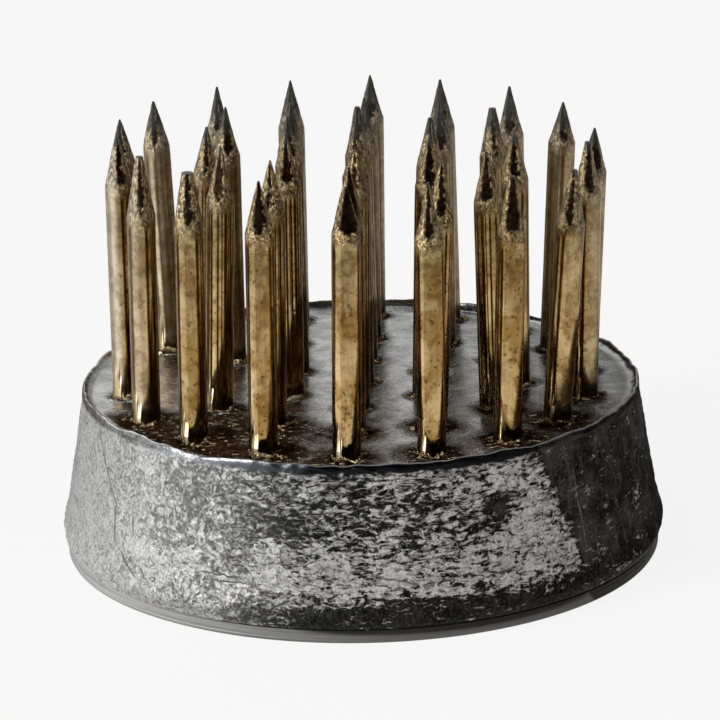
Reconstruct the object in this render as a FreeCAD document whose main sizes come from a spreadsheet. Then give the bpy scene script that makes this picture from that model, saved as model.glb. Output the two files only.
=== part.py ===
"""Needle-point flower holder: a round cast lead base with rings of upright brass pins.

The lead is cast round the feet of the pins, so the base is the plain casting with the pins cut
out of it, and every pin is a piece of its own. Millimetres and degrees, +Z up, -Y is the front,
and the origin is the middle of the underside.
"""
import FreeCAD, Part
import os

import Sketcher

# Driving dimensions: the name, the value and what it measures.
SIZES = [
    ("ring_pitch", 4.5, "from one ring of pins to the next, and from the centre pin to the first"),
    ("ring_turn", -3.5, "angle from the front to the first pin of each ring"),
    ("pin_diameter", 1.6, "wire of the pins"),
    ("pin_standing", 15.2, "from the bed of the base up to the point of a pin"),
    ("pin_point", 2.9, "length of the ground point"),
    ("pin_tip_flat", 0.12, "diameter of the small flat left on the point"),
    ("floor_thickness", 3.4, "lead under the feet of the pins"),
    ("base_height", 9.8, "from the underside up to the crest of the rim"),
    ("bed_depth", 0.4, "from the crest of the rim down to the bed"),
    ("rim_width", 0.55, "from the crest of the rim in to the bed"),
    ("edge_margin", 2.5, "from the outer ring of pins out to the crest of the rim"),
    ("wall_taper", 1.05, "how far the wall leans out from the rim down to the flare"),
    ("flare_width", 0.45, "how far the flare spreads below the wall"),
    ("flare_rise", 1.7, "height of the flare"),
    ("belly_tuck", 0.2, "how far the rounded belly turns in below the flare"),
    ("belly_rise", 0.72, "height of the rounded belly"),
    ("foot_step", 0.1, "how far the turned foot stands in from the belly"),
    ("foot_height", 0.78, "height of the turned foot"),
    ("foot_chamfer", 0.12, "bevel round the lower edge of the foot"),
]

# Rings round the centre pin: the name, the place counted from the centre and the number of pins.
RINGS = [("inner", 1, 6), ("middle", 2, 12), ("outer", 3, 18)]

# Soft lead holds no pin quite true, and no two points are ground alike. Each pin's lean to the
# right and to the back is in degrees. How far it stands to the right of its place in the ring,
# and what its length, its point and its flat have over the normal ones, is in millimetres.
# Pins are counted anticlockwise from the front, seen from above.
STRAIGHT = {"aside": 0.0, "right": 0.0, "back": 0.0, "longer": 0.0, "point": 0.0, "flat": 0.0}
QUIRKS = {
    "pin_inner_1": {"right": 1.0},
    "pin_inner_2": {"right": 1.5},
    "pin_inner_3": {"right": 1.0, "flat": 0.15},
    "pin_inner_4": {"right": -0.5, "back": 0.5, "longer": 0.1, "flat": 0.2},
    "pin_inner_5": {"right": -0.5, "back": 0.5, "longer": 0.1},
    "pin_inner_6": {"right": 0.5, "longer": 0.2},
    "pin_middle_1": {"right": 0.5},
    "pin_middle_2": {"right": 2.5, "point": 0.4},
    "pin_middle_3": {"right": -1.0, "longer": -0.3},
    "pin_middle_4": {"longer": -0.2},
    "pin_middle_5": {"right": -0.5, "flat": 0.3},
    "pin_middle_6": {"longer": -0.4},
    "pin_middle_7": {"longer": -0.4},
    "pin_middle_8": {"right": 1.0, "longer": -0.4},
    "pin_middle_9": {"back": 1.0, "longer": 0.1},
    "pin_middle_10": {"right": 2.0, "longer": 0.1},
    "pin_middle_11": {"right": 2.0, "longer": 0.1, "point": 0.2},
    "pin_middle_12": {"right": 1.0, "longer": 0.1},
    "pin_outer_1": {"right": 1.0, "longer": 0.1, "point": -0.3},
    "pin_outer_2": {"longer": 0.1, "point": 0.4},
    "pin_outer_3": {"right": 1.5, "longer": -0.2, "point": 0.3, "flat": 0.25},
    "pin_outer_4": {"aside": -0.3, "right": 4.0, "back": -1.0, "longer": -0.7, "point": 0.2, "flat": 0.25},
    "pin_outer_5": {"aside": -0.4, "right": 1.0, "longer": -0.3, "flat": 0.2},
    "pin_outer_6": {"aside": -0.4, "right": 2.5, "back": -1.0, "longer": -0.6, "point": -0.3},
    "pin_outer_7": {"aside": -0.6, "right": 2.5, "longer": -0.2, "point": -0.5},
    "pin_outer_8": {"right": -0.5, "longer": -0.1},
    "pin_outer_9": {"right": -1.0, "longer": -0.2},
    "pin_outer_10": {"right": 0.5, "longer": -0.1, "point": -0.3},
    "pin_outer_11": {"longer": -0.2},
    "pin_outer_12": {"right": -0.5},
    "pin_outer_13": {"right": -2.0, "point": -0.2},
    "pin_outer_14": {"right": -1.5, "point": -0.2},
    "pin_outer_15": {"longer": 0.2},
    "pin_outer_16": {"right": 0.5, "longer": 0.1, "point": 0.5, "flat": 0.3},
    "pin_outer_17": {"right": 0.5, "longer": 0.1, "point": 0.2, "flat": 0.5},
    "pin_outer_18": {"right": 0.5, "longer": 0.2},
}

# Sizes that follow from the driving ones, as expressions of the sheet.
BED_HEIGHT = "(Sizes.base_height - Sizes.bed_depth)"
PIN_BURIED = f"({BED_HEIGHT} - Sizes.floor_thickness)"
RIM_RADIUS = f"({len(RINGS)} * Sizes.ring_pitch + Sizes.edge_margin)"
WALL_RADIUS = f"({RIM_RADIUS} + Sizes.wall_taper)"
BASE_RADIUS = f"({WALL_RADIUS} + Sizes.flare_width)"
BELLY_RADIUS = f"({BASE_RADIUS} - Sizes.belly_tuck)"
FOOT_RADIUS = f"({BELLY_RADIUS} - Sizes.foot_step)"
BELLY_HEIGHT = "(Sizes.foot_height + Sizes.belly_rise)"
FLARE_HEIGHT = f"({BELLY_HEIGHT} + Sizes.flare_rise)"

document = FreeCAD.newDocument("flower_holder")


def fill_sheet():
    """Put the driving dimensions into the sheet that every feature reads."""
    sheet = document.addObject("Spreadsheet::Sheet", "Sizes")
    for row, (name, value, meaning) in enumerate(SIZES, start=1):
        sheet.set(f"A{row}", str(value))
        sheet.setAlias(f"A{row}", name)
        sheet.set(f"B{row}", meaning)
    document.recompute()


def number(owner, expression):
    """The present value of an expression, where None stands for nought."""
    return float(owner.evalExpression(expression or "0"))


def draw_outline(sketch, corners, rounded):
    """Draw a closed outline from corner to corner and tie every corner to the sheet.

    A corner is a name, a radius and a height, where None lies on the axis or on the base line.
    The edge that leaves the corner named rounded is an arc that ends upright.
    """
    points = [
        FreeCAD.Vector(number(sketch, radius), number(sketch, height), 0)
        for name, radius, height in corners
    ]
    for index, (name, radius, height) in enumerate(corners):
        start = points[index]
        end = points[(index + 1) % len(points)]
        if name == rounded:
            bulge = FreeCAD.Vector(max(start.x, end.x), (start.y + end.y) / 2, 0)
            sketch.addGeometry(Part.Arc(start, (start + end + bulge + bulge) / 4, end))
        else:
            sketch.addGeometry(Part.LineSegment(start, end))
    for index, (name, radius, height) in enumerate(corners):
        following = (index + 1) % len(corners)
        sketch.addConstraint(Sketcher.Constraint("Coincident", index, 2, following, 1))
        if name == rounded:
            sketch.addConstraint(Sketcher.Constraint("Horizontal", index, 3, index, 2))
        for direction, line, size in (("X", -2, radius), ("Y", -1, height)):
            if size is None:
                sketch.addConstraint(Sketcher.Constraint("PointOnObject", index, 1, line))
                continue
            value = number(sketch, size)
            held = Sketcher.Constraint(f"Distance{direction}", index, 1, value)
            sketch.renameConstraint(sketch.addConstraint(held), f"{name}_{direction}")
            sketch.setExpression(f"Constraints.{name}_{direction}", size)


def turn_body(name, corners, rounded=None):
    """A body turned about its own Z axis from the half section that its corners give."""
    body = document.addObject("PartDesign::Body", name)
    plane = next(item for item in body.Origin.OriginFeatures if item.Role == "XZ_Plane")
    sketch = body.newObject("Sketcher::SketchObject", f"{name}_half_section")
    sketch.AttachmentSupport = [(plane, "")]
    sketch.MapMode = "FlatFace"
    draw_outline(sketch, corners, rounded)
    turned = body.newObject("PartDesign::Revolution", f"{name}_turned")
    turned.Profile = (sketch, [""])
    turned.ReferenceAxis = (sketch, ["V_Axis"])
    turned.Angle = 360
    return body


def make_casting():
    """The lead as cast, without its pins: turned foot, belly, flare, wall, rim and sunk bed."""
    return turn_body(
        "lead_casting",
        [
            ("middle", None, None),
            ("underside", f"{FOOT_RADIUS} - Sizes.foot_chamfer", None),
            ("foot_edge", FOOT_RADIUS, "Sizes.foot_chamfer"),
            ("foot_top", FOOT_RADIUS, "Sizes.foot_height"),
            ("belly", BELLY_RADIUS, "Sizes.foot_height"),
            ("flare", BASE_RADIUS, BELLY_HEIGHT),
            ("wall", WALL_RADIUS, FLARE_HEIGHT),
            ("rim", RIM_RADIUS, "Sizes.base_height"),
            ("bed", f"{RIM_RADIUS} - Sizes.rim_width", BED_HEIGHT),
            ("bed_middle", None, BED_HEIGHT),
        ],
        rounded="belly",
    )


def make_pin(name, place, angle):
    """One pin: a wire with a ground point, buried in the lead up to the bed.

    Its own origin is its buried foot, and it leans about the spot where it leaves the bed.
    """
    quirk = {**STRAIGHT, **QUIRKS.get(name, {})}
    radius = "Sizes.pin_diameter / 2"
    length = f"{PIN_BURIED} + Sizes.pin_standing + {quirk['longer']}"
    flat_radius = f"(Sizes.pin_tip_flat + {quirk['flat']}) / 2"
    body = turn_body(
        name,
        [
            ("foot_middle", None, None),
            ("foot", radius, None),
            ("shoulder", radius, f"{length} - Sizes.pin_point - {quirk['point']}"),
            ("tip", flat_radius, length),
            ("tip_middle", None, length),
        ],
    )
    lean = FreeCAD.Rotation(FreeCAD.Vector(0, 1, 0), quirk["right"])
    lean = lean.multiply(FreeCAD.Rotation(FreeCAD.Vector(1, 0, 0), -quirk["back"]))
    body.Placement.Rotation = lean
    along = lean.multVec(FreeCAD.Vector(0, 0, 1))
    reach = f"{place} * Sizes.ring_pitch"
    turn = f"({angle} + Sizes.ring_turn)"
    right = f"{reach} * sin{turn} + {quirk['aside']}"
    body.setExpression("Placement.Base.x", f"{right} - {PIN_BURIED} * {along.x}")
    body.setExpression("Placement.Base.y", f"-{reach} * cos{turn} - {PIN_BURIED} * {along.y}")
    body.setExpression("Placement.Base.z", f"{BED_HEIGHT} - {PIN_BURIED} * {along.z}")
    return body


def make_pins():
    """The centre pin, and the rings of pins evenly spaced round it."""
    pins = [make_pin("pin_centre", 0, 0)]
    for ring, place, count in RINGS:
        for index in range(count):
            pins.append(make_pin(f"pin_{ring}_{index + 1}", place, 360 * index / count))
    return pins


def make_base(casting, pins):
    """The casting with a socket round each buried foot, cut by the pins themselves."""
    feet = document.addObject("Part::Compound", "pin_feet")
    feet.Links = pins
    base = document.addObject("Part::Cut", "lead_base")
    base.Base = casting
    base.Tool = feet
    return base


def check_model(casting, nodes):
    """Stop if any feature failed, if a piece is no sound solid, or if no socket was cut."""
    failed = [item.Name for item in document.Objects if {"Invalid", "Error"} & set(item.State)]
    unsound = [
        node.Label
        for node in nodes
        if node.Shape.isNull() or not node.Shape.isValid() or len(node.Shape.Solids) != 1
    ]
    if failed or unsound:
        raise RuntimeError(f"failed features {failed}, unsound pieces {unsound}")
    if nodes[0].Shape.Volume >= casting.Shape.Volume:
        raise RuntimeError("the base has no sockets")


fill_sheet()
casting = make_casting()
pins = make_pins()
base = make_base(casting, pins)
nodes = [base] + pins
for node in nodes:
    node.Label = node.Name
document.recompute()
check_model(casting, nodes)

os.makedirs("parts", exist_ok=True)
for node in nodes:
    node.Shape.exportStep(f"parts/{node.Label}.step")
    print(f"{node.Label}: {node.Shape.Volume:.2f} mm3")
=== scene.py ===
"""Needle-point flower holder: a round lead casting with thirty-seven brass pins standing in it.

The lead comes first, then the pins that it was cast round, then the floor they stand on, the
studio round them and the camera. Lengths in the mesh code are millimetres until a piece is done.
"""
import math
import random
from functools import partial

import bmesh
import bpy
import numpy as np
from mathutils import Matrix, Vector, noise
from mathutils.geometry import delaunay_2d_cdt


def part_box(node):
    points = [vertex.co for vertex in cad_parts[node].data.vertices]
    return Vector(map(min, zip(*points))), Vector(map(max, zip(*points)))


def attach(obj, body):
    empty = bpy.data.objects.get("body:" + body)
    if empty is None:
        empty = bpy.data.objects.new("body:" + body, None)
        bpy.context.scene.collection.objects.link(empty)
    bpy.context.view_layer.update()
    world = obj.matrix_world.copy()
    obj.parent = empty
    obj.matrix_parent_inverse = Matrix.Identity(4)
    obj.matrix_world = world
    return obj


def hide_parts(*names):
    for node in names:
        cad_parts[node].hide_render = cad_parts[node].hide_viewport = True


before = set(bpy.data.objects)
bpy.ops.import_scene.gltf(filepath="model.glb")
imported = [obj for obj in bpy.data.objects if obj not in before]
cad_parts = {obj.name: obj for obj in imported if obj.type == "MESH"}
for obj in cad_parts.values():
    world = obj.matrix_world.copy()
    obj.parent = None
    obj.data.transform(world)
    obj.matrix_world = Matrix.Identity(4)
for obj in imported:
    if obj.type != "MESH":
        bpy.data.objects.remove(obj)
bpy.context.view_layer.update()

# ------------------------------
# Lead base. One pour of soft lead round the feet of the pins. Its wall keeps the scabby skin of
# the mould, worn bright on the high spots; the rim is smeared over into a thin rolled lip, the
# foot is turned flat on a lathe, and the bed rises a little where it froze against each pin.
# ------------------------------
MM = 0.001
base_low, base_high = (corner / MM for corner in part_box("lead_base"))
BELLY_RADIUS = (base_high.x - base_low.x) / 2
CREST_HEIGHT = base_high.z
SIDES = 640
WALL_ROWS = 54

# Height on the wall, and how far the wall stands in from the belly there.
WALL = [
    (0.93, 0.24), (1.10, 0.12), (1.35, 0.04), (1.60, 0.03), (1.85, 0.07), (2.10, 0.14),
    (2.60, 0.30), (3.20, 0.45), (4.40, 0.63), (5.60, 0.84), (6.20, 0.93), (8.00, 1.20),
    (9.00, 1.37), (9.60, 1.46),
]
# The lip, from its outer shoulder over the crest and down to the bed: out from the crest, up
# from the crest, how smooth and rolled the lead is there, and how much of it is rubbed crest with a painted
# highlight.
LIP = [
    (0.160, -0.50, 0.35, 0.0), (0.152, -0.40, 0.8, 0.0), (0.138, -0.29, 1.0, 0.0),
    (0.118, -0.19, 1.0, 0.0), (0.090, -0.11, 1.0, 0.1), (0.055, -0.05, 1.0, 0.5),
    (0.022, -0.012, 1.0, 1.0), (0.000, 0.00, 1.0, 1.0), (-0.024, -0.012, 1.0, 1.0),
    (-0.052, -0.05, 1.0, 0.5), (-0.080, -0.12, 1.0, 0.1), (-0.120, -0.20, 0.8, 0.0),
    (-0.200, -0.28, 0.5, 0.0), (-0.330, -0.35, 0.25, 0.0), (-0.500, -0.39, 0.0, 0.0),
]
# The height on the wall whose wear the lip shares.
LIP_LOOK = 9.3
BED_DEPTH = 0.40
# Lathe marks in the turned foot: height and depth of each, and how far each spreads up and down.
LATHE_MARKS = [(0.26, 0.022), (0.40, 0.014), (0.52, 0.026), (0.64, 0.012)]
MARK_SPREAD = 0.045
FOOT_IN = 0.30
FOOT_TOP = 0.76
FOOT_BEVEL = 0.12


def read_pin(node):
    """The middle of a pin's foot, shoulder and point, with the radii of its wire and its tip."""
    spots = np.array([v.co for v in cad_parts[node].data.vertices]) / MM
    foot_ring = spots[spots[:, 2] < spots[:, 2].min() + 0.12]
    tip_ring = spots[spots[:, 2] > spots[:, 2].max() - 0.06]
    upper = spots[spots[:, 2] > (foot_ring[:, 2].mean() + tip_ring[:, 2].mean()) / 2]
    shoulder_ring = upper[upper[:, 2] < upper[:, 2].min() + 0.1]
    foot = Vector((foot_ring.min(0) + foot_ring.max(0)) / 2)
    tip = Vector((tip_ring.min(0) + tip_ring.max(0)) / 2)
    shoulder = Vector((shoulder_ring.min(0) + shoulder_ring.max(0)) / 2)
    wire = max((Vector(s) - foot).length for s in foot_ring)
    flat = max((Vector(s) - tip).length for s in tip_ring)
    return {"foot": foot, "shoulder": shoulder, "tip": tip, "wire": wire, "flat": flat}


PINS = {name: read_pin(name) for name in sorted(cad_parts) if name.startswith("pin_")}
BED_HEIGHT = CREST_HEIGHT - BED_DEPTH
for pin in PINS.values():
    pin["axis"] = (pin["tip"] - pin["foot"]).normalized()
    pin["collar"] = pin["foot"] + pin["axis"] * ((BED_HEIGHT - pin["foot"].z) / pin["axis"].z)


def share(value):
    """The value, held between 0 and 1."""
    return min(1.0, max(0.0, value))


def wander(place, size, seed):
    """Smooth noise from about -1 to 1 whose lumps are about size across."""
    return noise.noise(Vector((place[0] / size + seed, place[1] / size - seed, place[2] / size)))


def wall_inset(height):
    """How far in from the belly the wall stands, its corners eased over half a millimetre."""
    steps = np.linspace(-0.25, 0.25, 7)
    table = np.array(WALL)
    return float(np.interp(height + steps, table[:, 0], table[:, 1]).mean())


def round_place(turn, radius, height):
    """A place at this turn round from the front."""
    return (radius * math.sin(turn), -radius * math.cos(turn), height)


def degrees_of(turn):
    """The turn in degrees from the front, from -180 to 180."""
    degrees = math.degrees(turn)
    return degrees - 360 if degrees > 180 else degrees


def skin(place):
    """How far the cast skin stands out: long low lumps, then scabs drawn out sideways."""
    lumps = 0.05 * wander(place, 7.0, 3.1) + 0.03 * wander(place, 2.6, 8.4)
    drawn = (place[0], place[1], place[2] * 2.2)
    scabs = noise.fractal(Vector(drawn) / 0.9, 0.7, 2.1, 4)
    return lumps + 0.035 * max(-1.0, min(1.0, scabs * 2.0))


# Where handling has worn the wall bright or left it dark, with two low patches of painted shade: turn
# from the front in degrees, height, how far the patch reaches each way, and how much of the skin there
# is brighter or darker.
WEAR_AND_SHADE_PATCHES = [
    (-68, 5.0, 30, 9.0, 0.34), (-46, 3.6, 7, 1.2, 0.20), (-36, 1.7, 20, 0.8, 0.16),
    (-26, 3.0, 16, 0.9, 0.12), (-20, 6.6, 14, 1.3, -0.08), (-15, 6.3, 2.6, 0.6, -0.24),
    # The darkening at 1.3 and 1.5 mm high at the front is painted shade where the wall curves under.
    (2, 7.4, 20, 2.0, -0.16), (0, 3.4, 22, 0.9, 0.26), (24, 1.3, 42, 1.0, -0.70),
    (-4, 1.5, 12, 0.8, -0.25), (31, 5.0, 9, 2.4, 0.20), (37, 3.4, 7, 1.3, 0.18),
    (27, 6.7, 3.0, 0.7, -0.60), (20, 5.9, 7, 0.7, -0.20), (28, 8.4, 7, 0.5, 0.12),
    (-14, 4.7, 6.0, 1.1, 0.26), (58, 1.4, 9, 0.6, 1.00), (66, 4.6, 4, 1.1, 0.65),
    (150, 5.5, 26, 3.0, 0.20), (-140, 4.0, 30, 2.0, 0.18),
]


def wear_at(turn, height):
    """Share of the skin worn bright, from 0 to 1, lowered by two low patches of painted shade at the front;
    a smooth dark stretch runs round the right.
    """
    degrees = degrees_of(turn)
    worn = 0.50
    for patch_turn, patch_height, wide, tall, gain in WEAR_AND_SHADE_PATCHES:
        reach = ((degrees - patch_turn) / wide) ** 2 + ((height - patch_height) / tall) ** 2
        worn += gain * math.exp(-reach)
    dark_starts = 36.6 + (9.0 - height) * 1.2
    into = share((degrees - dark_starts) / 2.0) * share((122.0 - degrees) / 14.0)
    return share(worn - 0.75 * into)


def grime_at(turn):
    """How dark the hollows of the skin are painted, oxide and painted shade: least on the lit left, most
    from the front rightwards.
    """
    degrees = degrees_of(turn)
    rise = share((degrees + 58.0) / 60.0)
    fall = share((degrees - 110.0) / 60.0)
    back = share((-95.0 - degrees) / 50.0)
    return max(0.10, rise * (1.0 - 0.65 * fall), 0.6 * back)


# Every corner of the mesh carries one number of each of these, which the material reads.
MARKS = ("rolled", "bed", "turned", "seam", "wear", "grime", "stain", "crest", "bead")
spots = []
marked = {name: [] for name in MARKS}
faces = []


def add_spot(place, wear=0.5, grime=0.5, **marks):
    """Adds a corner to the mesh, with its marks, and returns its number."""
    marks.update(wear=wear, grime=grime)
    for name in MARKS:
        marked[name].append(marks.get(name, 0.0))
    spots.append(place)
    return len(spots) - 1


# The turned foot: straight, with its lathe marks and a bevel below.
rows = [("foot", 0.0, FOOT_IN + FOOT_BEVEL), ("foot", 0.03, FOOT_IN + 0.05), ("foot", 0.12, FOOT_IN)]
for mark_height, mark_depth in LATHE_MARKS:
    rows.append(("foot", mark_height - MARK_SPREAD, FOOT_IN))
    rows.append(("foot", mark_height, FOOT_IN + mark_depth))
    rows.append(("foot", mark_height + MARK_SPREAD, FOOT_IN))
# The step between foot and wall, cut in like a thin groove and painted as a dark line of shadow.
rows += [("foot", FOOT_TOP - 0.02, FOOT_IN), ("seam", FOOT_TOP + 0.01, FOOT_IN + 0.07)]
rows += [("seam", FOOT_TOP + 0.05, FOOT_IN + 0.07), ("wall", FOOT_TOP + 0.08, FOOT_IN - 0.03)]
for height in np.linspace(FOOT_TOP + 0.14, CREST_HEIGHT - 0.60, WALL_ROWS):
    rows.append(("wall", float(height), wall_inset(float(height))))

turns = [math.tau * side / SIDES for side in range(SIDES)]
for zone, height, inset in rows:
    for turn in turns:
        radius = BELLY_RADIUS - inset
        place = round_place(turn, radius, height)
        if zone == "wall":
            fade = min(1.0, (height - FOOT_TOP) / 0.5)
            radius = min(BELLY_RADIUS, radius - 0.03 + skin(place) * fade)
        elif zone == "seam":
            radius += 0.02 * wander(place, 0.8, 5.0)
        # The cast edge above the foot hangs a little lower on the left.
        sag = 0.13 * math.exp(-(((turn - 5.35) / 0.55) ** 2)) if zone != "foot" else 0.0
        sag *= max(0.0, 1.0 - (height - FOOT_TOP) / 1.2)
        add_spot(
            round_place(turn, radius, height - sag), wear_at(turn, height), grime_at(turn),
            turned=float(zone == "foot"), seam=float(zone == "seam"),
        )

wall_top = BELLY_RADIUS - wall_inset(CREST_HEIGHT - 0.55)
for out, up, smooth, rubbed_and_highlit in LIP:
    for turn in turns:
        place = round_place(turn, wall_top, 0.0)
        swing = 0.12 * wander(place, 5.5, 1.7) + 0.08 * wander(place, 1.6, 6.2)
        nick = 0.05 * wander(place, 0.5, 9.3) * (1.0 - 0.5 * abs(up) / 0.5)
        nick += 0.05 * wander(place, 0.9, 5.5)
        rise = 0.12 * wander(place, 4.2, 4.4) + 0.15 * wander(place, 1.7, 2.8)
        rise += 0.06 * wander(place, 0.7, 1.9)
        # The swing fades away towards the wall below and the bed inside.
        hold = share(1.0 + (up + 0.12) / 0.42)
        crest = wall_top - 0.16 + (swing + nick) * hold
        rolled = up * (1.0 + rise * 1.5) + rise * hold
        add_spot(
            round_place(turn, crest + out, CREST_HEIGHT + rolled), wear_at(turn, LIP_LOOK),
            grime_at(turn), rolled=smooth, bed=share((-out - 0.06) / 0.10), crest=rubbed_and_highlit,
        )
ring_count = len(rows) + len(LIP)
for ring in range(ring_count - 1):
    for side in range(SIDES):
        after = (side + 1) % SIDES
        low, high = ring * SIDES, (ring + 1) * SIDES
        faces.append((low + side, low + after, high + after, high + side))
# The bed starts at the last ring of the lip.
rim_first = (ring_count - 1) * SIDES
rim = [Vector(spots[rim_first + side][:2]) for side in range(SIDES)]
bed_edge = min(spot.length for spot in rim) - 0.06


def aside(middle, reach, turn):
    """The place on the bed at this reach and turn from a middle."""
    return (middle[0] + reach * math.cos(turn), middle[1] + reach * math.sin(turn))


# Beads of spatter on the bed near the pins: where each is, and its radius.
dice = random.Random(37)
BEADS = []
for pin in PINS.values():
    for _ in range(dice.choice((2, 3, 3, 4))):
        size = dice.uniform(0.07, 0.20)
        turn = dice.uniform(0, math.tau)
        gap = pin["wire"] + size * dice.uniform(0.6, 3.0)
        BEADS.append((*aside(pin["collar"], gap, turn), size))
BEAD_SPOTS = np.array(BEADS)
COLLAR_SPOTS = np.array([(p["collar"].x, p["collar"].y) for p in PINS.values()])
WIRE_RADIUS = max(p["wire"] for p in PINS.values())


def from_pins(x, y):
    """How far this place on the bed is from the middle of each pin."""
    return np.hypot(COLLAR_SPOTS[:, 0] - x, COLLAR_SPOTS[:, 1] - y)


def from_beads(x, y):
    """How far this place on the bed is from the middle of each bead."""
    return np.hypot(BEAD_SPOTS[:, 0] - x, BEAD_SPOTS[:, 1] - y)


def feet_brown_at(x, y):
    """Dark brown on the bed: strongest against a pin, and spread widest at the front corners."""
    gap = max(0.0, float(from_pins(x, y).min()) - WIRE_RADIUS)
    left = share((-x - 1.5) / 4.0) * share((-y - 3.0) / 4.0)
    front = share((-y - 4.0) / 6.0)
    right = share((x - 6.5) / 3.0) * share((-y - 2.5) / 3.0)
    reach = 0.32 + 0.50 * front + 2.2 * left + 0.75 * right
    ragged = max(0.0, 1.15 + 1.1 * wander((x, y, 0), 0.7, 3.3) + 0.5 * wander((x, y, 0), 0.25, 6.1))
    return min(1.0, math.exp(-((gap / reach) ** 2)) * ragged * (0.7 + 0.3 * front))


def bed_height(x, y):
    """The frozen top of the lead: gentle waves, fine ripples, a collar at each pin, and beads."""
    waves = 0.045 * wander((x, y, 0), 4.5, 2.2) + 0.03 * wander((x, y, 0), 1.9, 7.7)
    ripples = 0.016 * wander((x, y * 2.4, 0), 0.8, 1.1) + 0.008 * wander((x, y * 2.0, 0), 0.4, 5.1)
    ripples *= 1.0 + 1.5 * feet_brown_at(x, y)
    away = from_pins(x, y)
    nearest = int(away.argmin())
    gap = max(0.0, float(away[nearest]) - WIRE_RADIUS)
    around = (x - COLLAR_SPOTS[nearest, 0], y - COLLAR_SPOTS[nearest, 1], nearest * 3.0)
    ragged = max(0.0, 0.55 + 1.1 * wander(around, 0.55, 0.4))
    collar = 0.06 * ragged * math.exp(-((gap / 0.15) ** 2)) + 0.26 * ragged * math.exp(-gap / 0.065)
    collar -= 0.04 * ragged * math.exp(-(((gap - 0.4) / 0.2) ** 2))
    bead = 0.0
    far = from_beads(x, y)
    for index in np.nonzero(far < BEAD_SPOTS[:, 2])[0]:
        size = BEAD_SPOTS[index, 2]
        bead = max(bead, 0.85 * math.sqrt(max(0.0, size * size - float(far[index]) ** 2)))
    return BED_HEIGHT + waves + ripples + collar + bead


def bed_dirt_and_shade_at(x, y):
    """How dark the bed is painted as shade: more towards the right, and most against the rim there."""
    at_rim = share((math.hypot(x, y) - bed_edge + 1.8) / 1.8)
    at_rim *= grime_at(math.atan2(x, -y) % math.tau)
    return max(0.35 + 0.45 * share((x - 1.0) / 11.0), at_rim)


# The bed: a fine net of triangles, finest round the pins, with a socket left for each pin.
NET_STEP = 0.21
NET_ROWS = 80
NET_COLUMNS = 90
SOCKET_SIDES = 40
COLLAR_RINGS = (0.025, 0.06, 0.11, 0.18, 0.27, 0.38)
# Rings of corners on a bead: the share of its radius, and how many corners.
BEAD_RINGS = ((0.0, 1), (0.35, 6), (0.65, 9), (0.88, 12), (1.02, 14))
net = list(rim)
edges = [(side, (side + 1) % SIDES) for side in range(SIDES)]
sockets = {}
for name, pin in PINS.items():
    first = len(net)
    sockets[name] = first
    for side in range(SOCKET_SIDES):
        turn = math.tau * side / SOCKET_SIDES
        net.append(Vector(aside(pin["collar"], pin["wire"] * 0.995, turn)))
        edges.append((first + side, first + (side + 1) % SOCKET_SIDES))
socket_end = len(net)
for pin in PINS.values():
    for gap in COLLAR_RINGS:
        count = int(math.tau * (pin["wire"] + gap) / 0.11)
        for side in range(count):
            turn = math.tau * (side + dice.uniform(-0.2, 0.2)) / count
            net.append(Vector(aside(pin["collar"], pin["wire"] + gap, turn)))
for x, y, size in BEADS:
    for ring_share, count in BEAD_RINGS:
        for side in range(count):
            turn = math.tau * side / count + ring_share * 3
            spot = Vector(aside((x, y), size * ring_share, turn))
            if min((spot - Vector(c)).length for c in COLLAR_SPOTS) > WIRE_RADIUS + 0.02:
                net.append(spot)
for row in range(-NET_ROWS, NET_ROWS + 1):
    for column in range(-NET_COLUMNS, NET_COLUMNS + 1):
        x = (column + 0.5 * (row % 2)) * NET_STEP + dice.uniform(-0.03, 0.03)
        y = row * NET_STEP * 0.87 + dice.uniform(-0.03, 0.03)
        if math.hypot(x, y) <= bed_edge and from_pins(x, y).min() >= WIRE_RADIUS + 0.45:
            net.append(Vector((x, y)))
# The net comes back as its places, its triangles, and the first places that each place came from.
outline = list(range(SIDES))
net_places, _, net_triangles, net_origins = delaunay_2d_cdt(net, edges, [outline], 1, 1e-6, True)[:4]
bed_index = {}
for number, (spot, origins) in enumerate(zip(net_places, net_origins)):
    on_rim = [origin for origin in origins if origin < SIDES]
    if on_rim:
        bed_index[number] = rim_first + on_rim[0]
        continue
    edge_share = share((bed_edge - spot.length) / 0.9)
    nearest_side = round(math.atan2(spot.x, -spot.y) / math.tau * SIDES) % SIDES
    rim_height = spots[rim_first + nearest_side][2]
    height = rim_height + (bed_height(spot.x, spot.y) - rim_height) * edge_share
    on_bead = float((from_beads(spot.x, spot.y) < BEAD_SPOTS[:, 2]).any())
    from_pin = float(from_pins(spot.x, spot.y).min()) - WIRE_RADIUS
    bed_index[number] = add_spot(
        (spot.x, spot.y, height), grime=bed_dirt_and_shade_at(spot.x, spot.y), bed=1.0,
        stain=feet_brown_at(spot.x, spot.y), bead=max(on_bead, share((0.10 - from_pin) / 0.06)),
    )
socket_rings, loop_of = {}, {}
for number, origins in enumerate(net_origins):
    for origin in origins:
        if origin < SIDES:
            loop_of[number] = "rim"
        elif origin < socket_end:
            loop_of[number] = (origin - SIDES) // SOCKET_SIDES
            socket_rings[origin] = bed_index[number]
for triangle in net_triangles:
    # A triangle with all its corners on one loop lies in a socket or outside the rim.
    loops = {loop_of.get(n, "open") for n in triangle}
    if len(loops) > 1 or "open" in loops:
        faces.append(tuple(bed_index[n] for n in triangle))
for name, first in sockets.items():
    pin = PINS[name]
    top = [socket_rings[first + side] for side in range(SOCKET_SIDES)]
    floor_first = len(spots)
    for corner in top:
        mouth = Vector(spots[corner])
        drop = (mouth.z - pin["foot"].z) / pin["axis"].z
        add_spot(tuple(mouth - pin["axis"] * drop), bed=1.0, stain=1.0)
    for side in range(SOCKET_SIDES):
        after = (side + 1) % SOCKET_SIDES
        faces.append((top[side], top[after], floor_first + after, floor_first + side))
    faces.append(tuple(range(floor_first, floor_first + SOCKET_SIDES)))

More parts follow.
